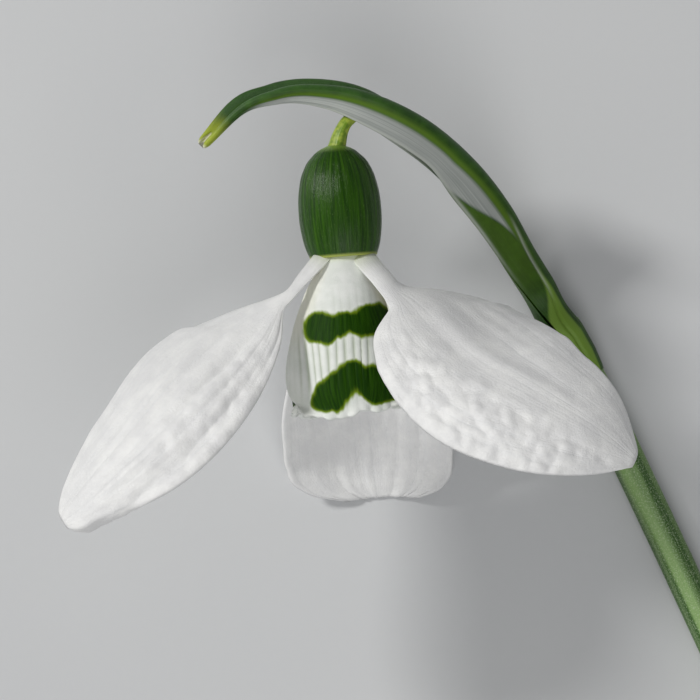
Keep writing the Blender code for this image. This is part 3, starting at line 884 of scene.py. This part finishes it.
def inner_petal(name, turn, white, seed, rows=170, columns=201):
    """A third of the bell, with its grooves, its crimped rim and its green marks."""
    shares = np.linspace(0.0, 1.0, rows)
    across, along = np.meshgrid(np.linspace(-1.0, 1.0, columns), shares)
    half_angle = np.radians(follow_all(BELL_HALF_ANGLE, shares))[:, None]
    radius = follow_all(BELL_RADIUS, shares)[:, None]
    spiral = INNER_OVERLAP * np.minimum(1.0, shares / 0.15)[:, None]
    angle = across * half_angle
    reach = radius - spiral * across

    # grooves along the petal, deepest between the marks
    lines = across * half_angle * radius
    fade = between(0.08, 0.3, 0.9, 0.99, along)
    wander = lines / GROOVE_SPACING + 0.45 * rough(joined(lines, along * 2.0, seed), 1.1)
    groove = bell((wander + seed) % 1.0 - 0.5, 0.24)
    deep = 0.018 + 0.05 * between(0.45, 0.56, 0.72, 0.85, along)
    reach = reach - deep * groove * fade * (1 - smooth(3.4, 4.6, np.abs(lines)))

    # the rim is crimped, and turns out a little
    lip = smooth(0.86, 1.0, along)
    crimp = np.sin(lines * 3.1 + seed) * 0.6 + np.sin(lines * 6.7 + 2 * seed) * 0.4
    reach = reach + lip**3 * (0.1 + 0.45 * np.abs(across) ** 2 + 0.18 * crimp)
    rim = 0.9 * np.abs(across) ** 3 + 0.5 * bell(across - 0.1, 0.16)
    rim = rim + 0.3 * smooth(0.0, 0.4, across)
    fall = along * (INNER_LENGTH - along**4 * rim) + lip**4 * 0.09 * crimp
    height = INNER_TOP + 0.85 * (1 - along) ** 12 - fall

    x = reach * np.sin(angle)
    below = -height
    spots = joined(x, below, seed)
    ragged = 0.24 * rough(spots * (1.0, 0.5, 1.0), 0.7)
    ragged = ragged + 0.09 * rough(spots * (1.0, 0.3, 1.0), 0.22)
    inside = distance_inside(UPPER_MARK + LOWER_MARK, x, below)
    mark = smooth(-0.42, 0.36, inside + ragged)
    strip = between(5.6, 7.4, 9.8, 12.2, below) * (1 - smooth(3.8, 4.6, np.abs(x)))
    shown = groove * (0.12 * fade + 0.88 * strip) * (1 - mark)

    turned = angle + turn
    points = joined(reach * np.sin(turned), -reach * np.cos(turned), height)
    thickness = INNER_THICKNESS * (1 + 0.25 * smooth(0.93, 1.0, along))
    fields = {"across": across, "along": along, "mark": mark, "groove": shown}
    mesh = walled(f"inner_{name}_grown", world(tilted(points)), thickness, fields)
    place(f"inner_{name}_grown", mesh, white, "inner_petal_white", f"inner_petal_{name}")


# ---------------- stalks, hood and ovary


def spathe_line(column):
    return [(row[0], row[column]) for row in SPATHE]


def spathe_axes(share):
    """Middle between the keels, direction from near to far keel, and direction of the flaps."""
    near = follow(spathe_line(1), share)
    far = follow(spathe_line(2), share)
    middle_line = [(row[0], tuple((np.array(row[1]) + np.array(row[2])) / 2)) for row in SPATHE]
    along = tangent(middle_line, share)
    across = far - near
    across = across - along * np.dot(across, along)
    down = unit(np.cross(along, across))
    return (near + far) / 2, unit(across), down, np.linalg.norm(across) / 2


def spathe_ring(share, steps):
    """One closed section: near flap, near keel, the skin between the keels, far keel, far flap."""
    middle, across, down, half = spathe_axes(share)
    near_edge = follow(spathe_line(3), share)
    far_edge = follow(spathe_line(4), share)
    keel_half = float(follow(spathe_line(5), share))
    # above the sheath the near flap closes towards the far one
    closing = float(between(0.03, 0.12, 0.36, 0.5, share))
    near_edge[0] += 0.7 * (far_edge[0] - near_edge[0]) * closing
    least = FLANK if share < 0.6 else 0.0
    near_flank = -max(least, 0.6 * half - 0.5 * near_edge[0])
    far_flank = max(least, 0.6 * half + 0.5 * far_edge[0])
    sink = -0.25 + 0.75 * float(smooth(0.45, 0.7, share))
    near_keel, far_keel = KEEL_PLACES
    path = [
        (0.0, tuple(near_edge)),
        (0.12, (near_flank, near_edge[1] * 0.55)),
        (near_keel, (-half, 0.0)),
        (0.5, (0.0, sink * half)),
        (far_keel, (half, 0.0)),
        (0.88, (far_flank, far_edge[1] * 0.55)),
        (1.0, tuple(far_edge)),
    ]
    sheath = 1 - float(smooth(0.0, 0.14, share))
    spread = KEEL_SPREAD * (1 - 0.2 * float(smooth(0.5, 0.8, share)))
    slit_place = float(follow(SLIT_PLACE, share))
    slit_depth = 0.16 * float(1 - smooth(0.22, 0.3, share))
    roll_height = 0.3 * float(between(0.12, 0.2, 0.3, 0.42, share))
    sheath_middle = np.array([0.0, SHEATH_DEPTH])
    outer, inner = [], []
    for i in range(steps + 1):
        spot = i / steps
        run = tangent(path, spot)
        turn = (spot - 0.5) * 2 * math.pi * SHEATH_WRAP
        radial = np.array([math.sin(turn), -math.cos(turn)])
        wrapped = sheath_middle + radial * SHEATH_RADIUS
        centre = (1 - sheath) * follow(path, spot) + sheath * wrapped
        normal = unit((1 - sheath) * np.array([run[1], -run[0]]) + sheath * radial)
        rib = max(bell(spot - at, spread) for at in KEEL_PLACES)
        edge = min(1.0, 0.25 + 12 * min(spot, 1 - spot))
        wall = (SPATHE_WALL + (keel_half * 2 - SPATHE_WALL) * rib * (1 - sheath) ** 2) * edge
        dent = bell(spot - slit_place, 0.014) * slit_depth
        roll = bell(spot - 0.06, 0.05) * roll_height
        for ring, shift in ((outer, 0.5 * wall - dent + roll), (inner, -0.5 * wall)):
            point = centre + normal * shift
            ring.append(middle + across * point[0] + down * point[1])
    return outer + inner[::-1]


def spathe_rows(grid, place_round):
    """The hood's rows of points with its hem below them and its two tips beyond them."""
    # below its first ring the sheath runs out thinly along the stem
    middle = grid[0].mean(axis=0)
    back = np.array([math.sin(STEM_LEAN), 0.0, -math.cos(STEM_LEAN)])
    start = np.array(STEM_TOP) + back * np.dot(middle - np.array(STEM_TOP), back)
    spokes = grid[0] - middle
    lengths = np.linalg.norm(spokes, axis=1, keepdims=True)
    spokes = spokes - back * np.dot(spokes, back)[:, None]
    spokes = spokes / np.linalg.norm(spokes, axis=1, keepdims=True) * lengths
    hem = [start + spokes * size + back * drop for drop, size in HEM_RINGS]
    opening = np.repeat((start + back * HEM_RINGS[0][0])[None, :], len(spokes), axis=0)

    # above its last ring each keel has its own tip
    ahead = unit(grid[-1].mean(axis=0) - grid[-2].mean(axis=0))
    keels = (grid[-1][np.abs(place_round - at) < 0.1].mean(axis=0) for at in KEEL_PLACES)
    tips = np.where((place_round < 0.5)[:, None], *keels)
    parted = smooth(0.1, 0.2, np.minimum(place_round, 1 - place_round) - 0.18)
    parted = (TIPS_PARTED * parted)[:, None]
    rounding = [
        tips + (grid[-1] - tips) * size + ahead * (reach - parted) for reach, size in TIP_RINGS
    ]
    ends = tips + ahead * TIP_LENGTH
    last_rings = 10
    parting = np.clip(np.arange(len(grid)) - len(grid) + last_rings, 0, None) / last_rings
    grid = grid - ahead * parted * parting[:, None, None]
    return np.concatenate([[opening], hem, grid, rounding, [ends]])


def spathe(rings=240, steps=140):
    """The hood as a loft, because its section opens and thins along its length."""
    grid = np.array([spathe_ring(i / (rings - 1), steps) for i in range(rings)])
    place_round = np.concatenate([np.arange(steps + 1), np.arange(steps, -1, -1)]) / steps
    grid = spathe_rows(grid, place_round)
    hem_rows = [0.0] * (1 + len(HEM_RINGS))
    along = np.concatenate([hem_rows, np.linspace(0, 1, rings), TIP_ALONG])
    around, along = np.meshgrid(place_round, along)
    inside = np.repeat([0.0, 1.0], steps + 1)
    flap = np.minimum(around, 1 - around)
    near = around < 0.5
    below_tips = 1 - smooth(0.88, 0.96, along)
    opened = np.where(near, smooth(0.13, 0.3, along), smooth(0.42, 0.56, along)) * below_tips
    # towards the stem the skin narrows to nothing beside a green band along its free edge
    band = 0.19 * (1 - smooth(0.22, 0.44, along))
    banded = (1 - smooth(band - 0.02, band, flap)) * smooth(0.1, 0.2, along)
    film = (1 - smooth(0.15, 0.19, flap)) * opened * smooth(band - 0.012, band + 0.012, flap)
    film = np.maximum(film, inside * smooth(0.3, 0.45, along) * 0.6 * below_tips)
    # beside the stem a slit runs down between two bright lips
    beside = np.abs(around - follow_all(SLIT_PLACE, along[:, 0])[:, None])
    lips = 0.015 + 0.085 * (1 - smooth(0.03, 0.17, along))
    slit = (1 - smooth(lips - 0.015, lips + 0.015, beside)) * (1 - smooth(0.15, 0.19, along))
    line = bell(beside, 0.012)
    seam = line * between(0.1, 0.15, 0.24, 0.32, along)
    # painted shadow: a dark line down the slit near the stem
    slit_shadow = line * (1 - smooth(0.1, 0.15, along))
    # painted shade: the recess between the keels is darkened
    shade_between_keels = bell(around - 0.41, 0.05) * smooth(0.4, 0.6, along)
    frosted = bell(flap - np.where(near, 0.31, 0.34), 0.045)
    fields = {
        "around": around,
        "along": along,
        "skin": film,
        "slit": slit,
        "hem": np.maximum(bell(flap - 0.012, 0.012) * opened, 0.8 * seam),
        "edge": np.maximum(bell(flap - 0.2, 0.03) * opened, 0.5 * banded),
        "bloom": frosted * smooth(0.3, 0.5, along),
        # groove carries the painted shade between the keels and in the slit
        "groove": np.maximum(shade_between_keels, slit_shadow),
    }
    mesh = closed(grid_mesh("spathe_grown", world(grid), fields, wrapped=True))
    green = finish("spathe_green_grown", spathe_green, subsurface=0.12, specular=0.24)
    place("spathe_grown", mesh, green, "spathe_green", "spathe")


def stalk(part, points, radii, tree, values, colour_of):
    """A stalk through points, with a radius at each."""
    name = f"{part}_grown"
    green = finish(f"{part}_green_grown", colour_of)
    curve = bpy.data.curves.new(name, "CURVE")
    curve.dimensions = "3D"
    curve.resolution_u = 12
    spline = curve.splines.new("BEZIER")
    spline.bezier_points.add(len(points) - 1)
    for knot, point, radius in zip(spline.bezier_points, world(points), radii):
        knot.co = Vector(point)
        knot.radius = radius * MM
        knot.handle_left_type = "AUTO"
        knot.handle_right_type = "AUTO"
    mesh = closed(grow(curve, tree, {**values, "Finish": green}))
    mesh.name = name
    place(name, mesh, green, f"{part}_green", part)


def stem(tree):
    run = np.array([math.sin(STEM_LEAN), 0.0, -math.cos(STEM_LEAN)]) * STEM_LENGTH
    bend = np.array([-math.cos(STEM_LEAN), 0.0, -math.sin(STEM_LEAN)]) * STEM_BEND
    shares = np.concatenate([[-0.02], np.linspace(0.0, 1.0, 9)])
    points = [np.array(STEM_TOP) + run * share + bend * share**2 for share in shares]
    values = {"Rings": 260, "Sides": 64, "Grooves": 7.0, "Groove Depth": 0.035 * MM}
    stalk("stem", points, [STEM_RADIUS] * len(points), tree, values, stem_green)


def pedicel(tree):
    path = []
    for share, drop in PEDICEL_DROP:
        middle, _, down, _ = spathe_axes(share)
        path.append(middle + down * drop)
    path += [np.array(point) for point in PEDICEL_HOOK]
    path.append(tilted([0.0, 0.0, OVARY_HEIGHT - 0.5]))
    radii = [PEDICEL_RADIUS] * (len(path) - 2) + [PEDICEL_RADIUS * 1.05, PEDICEL_RADIUS * 1.5]
    values = {
        "Rings": 150, "Sides": 32, "Grooves": 6.0, "Groove Depth": 0.02 * MM,
        "Lump Size": 1.0 * MM, "Lump Height": 0.06 * MM,
    }
    stalk("pedicel", path, radii, tree, values, pedicel_green)


def ovary(rows=120, steps=160):
    shares = np.linspace(0.0, 1.0, rows)
    radii = OVARY_RADIUS * follow_all(OVARY_PROFILE, shares)
    profile = [(0.0, 0.0), *zip(OVARY_HEIGHT * shares, radii), (OVARY_HEIGHT, 0.0)]
    grid = round_rows(profile, steps)
    turns = np.arange(steps) / steps
    around, along = np.meshgrid(turns, np.concatenate([[0.0], shares, [1.0]]))
    ridge = 0.012 * np.sin(around * 2 * math.pi * 31) + 0.03 * rough(grid * (1, 1, 0.15), 0.5)
    swell = 1 + ridge * between(0.0, 0.1, 0.85, 1.0, along) / OVARY_RADIUS
    grid = grid * joined(swell, swell, 1.0)
    # around runs up and back down, so that its pattern meets itself
    fields = {"around": 1 - np.abs(2 * around - 1), "along": along}
    mesh = closed(grid_mesh("ovary_grown", world(tilted(grid)), fields, wrapped=True))
    green = finish("ovary_green_grown", ovary_green, subsurface=0.05, specular=0.24)
    place("ovary_grown", mesh, green, "ovary_green", "ovary")


# ---------------- stamens and style


def stamen_mesh(sides=28):
    """One stamen at the origin, its anther's two halves parted by a groove, tip down."""
    profile = [(0.05, 0.0), (0.05, FILAMENT_RADIUS), (-FILAMENT_LENGTH, FILAMENT_RADIUS)]
    for share in np.linspace(0.02, 1.0, 30):
        radius = ANTHER_RADIUS * float(follow(ANTHER_PROFILE, share))
        profile.append((-FILAMENT_LENGTH - ANTHER_LENGTH * share, max(radius, 0.0)))
    grid = round_rows(profile, sides)
    turns = np.arange(sides) * 2 * math.pi / sides
    body = smooth(FILAMENT_LENGTH, FILAMENT_LENGTH + 0.8, -grid[..., 2])
    squeeze = 1 - body * 0.22 * bell(np.sin(turns), 0.35)[None, :]
    grid = grid * joined(squeeze, squeeze, 1.0)
    along = np.clip(-grid[..., 2] / (FILAMENT_LENGTH + ANTHER_LENGTH), 0.0, 1.0)
    return closed(grid_mesh("stamen_ring_grown", grid * MM, {"along": along}, wrapped=True))


def stamens():
    orange = finish("anther_orange_grown", anther_orange, subsurface=0.15)
    values = {
        "Count": STAMEN_COUNT, "Circle": STAMEN_CIRCLE * MM, "Splay": STAMEN_SPLAY,
        "Unevenness": 0.03, "Finish": orange,
    }
    mesh = grow(stamen_mesh(), stamen_tree(), values)
    mesh.transform(bloom_matrix())
    mesh.shade_smooth()
    nodes = [f"stamen_{i + 1}" for i in range(STAMEN_COUNT)]
    place("stamen_ring_grown", mesh, orange, "anther_orange", *nodes)


def style():
    profile = [(0.05, 0.0), (0.05, STYLE_RADIUS * 1.3), (-1.0, STYLE_RADIUS)]
    straight = STYLE_LENGTH * 0.9 - 1.0
    profile += [(-1.0 - straight * share, STYLE_RADIUS) for share in (0.25, 0.5, 0.75, 1.0)]
    profile += [(-STYLE_LENGTH, STYLE_RADIUS * 0.85), (-STYLE_LENGTH - 0.3, STYLE_RADIUS * 0.5)]
    profile.append((-STYLE_LENGTH - 0.4, 0.0))
    grid = round_rows(profile, 24)
    along = np.clip(-grid[..., 2] / STYLE_LENGTH, 0.0, 1.0)
    mesh = closed(grid_mesh("style_grown", world(tilted(grid)), {"along": along}, wrapped=True))
    white = finish("style_white_grown", style_white)
    place("style_grown", mesh, white, "style_white", "style")


# ---------------- studio


def studio():
    mesh = bpy.data.meshes.new("floor")
    reach = FLOOR_REACH
    corners = [(-reach, -reach, 0), (reach, -reach, 0), (reach, reach, 0), (-reach, reach, 0)]
    mesh.from_pydata(corners, [], [(0, 1, 2, 3)])
    mesh.materials.append(finish("floor_paper", floor_paper, subsurface=0.0))
    floor = added("floor", mesh)

    centre = Vector(world([0.0, 0.0, 0.0]))
    for name, offset, size, power, colour in LAMPS:
        light = bpy.data.lights.new(name, "AREA")
        light.shape = "DISK"
        light.size = size
        light.energy = power
        light.color = colour
        lamp = added(name, light)
        lamp.location = centre + Vector(offset)
        lamp.rotation_euler = Vector(offset).to_track_quat("Z", "Y").to_euler()

    sky = bpy.data.worlds.new("studio")
    sky.use_nodes = True
    background = sky.node_tree.nodes["Background"]
    background.inputs["Color"].default_value = SKY_COLOUR
    background.inputs["Strength"].default_value = SKY_STRENGTH
    bpy.context.scene.world = sky

    bpy.context.scene.view_settings.view_transform = "Standard"

    camera = bpy.data.cameras.new("camera")
    camera.lens = CAMERA_LENS
    camera.sensor_width = 36.0
    camera.clip_start = 0.01
    camera.clip_end = 20.0
    seat = added("camera", camera)
    seat.location = centre + Vector(CAMERA_PLACE) * MM
    bpy.context.scene.camera = seat


def main():
    relief = relief_tree()
    stalks = stalk_tree()
    white = finish("petal_white_grown", outer_white)
    outer_petal("left_petal_grown", relief, white, LEFT_PETAL)
    outer_petal("right_petal_grown", relief, white, RIGHT_PETAL)
    outer_petal("back_petal_grown", relief, white, BACK_PETAL)
    marked = finish("inner_petal_white_grown", inner_white, specular=0.08)
    for name, turn, seed in (("front", 0, 1.3), ("back_right", 120, 4.1), ("back_left", 240, 7.7)):
        inner_petal(name, math.radians(turn), marked, seed)
    spathe()
    stem(stalks)
    pedicel(stalks)
    ovary()
    stamens()
    style()
    studio()


main()
bpy.context.view_layer.update()
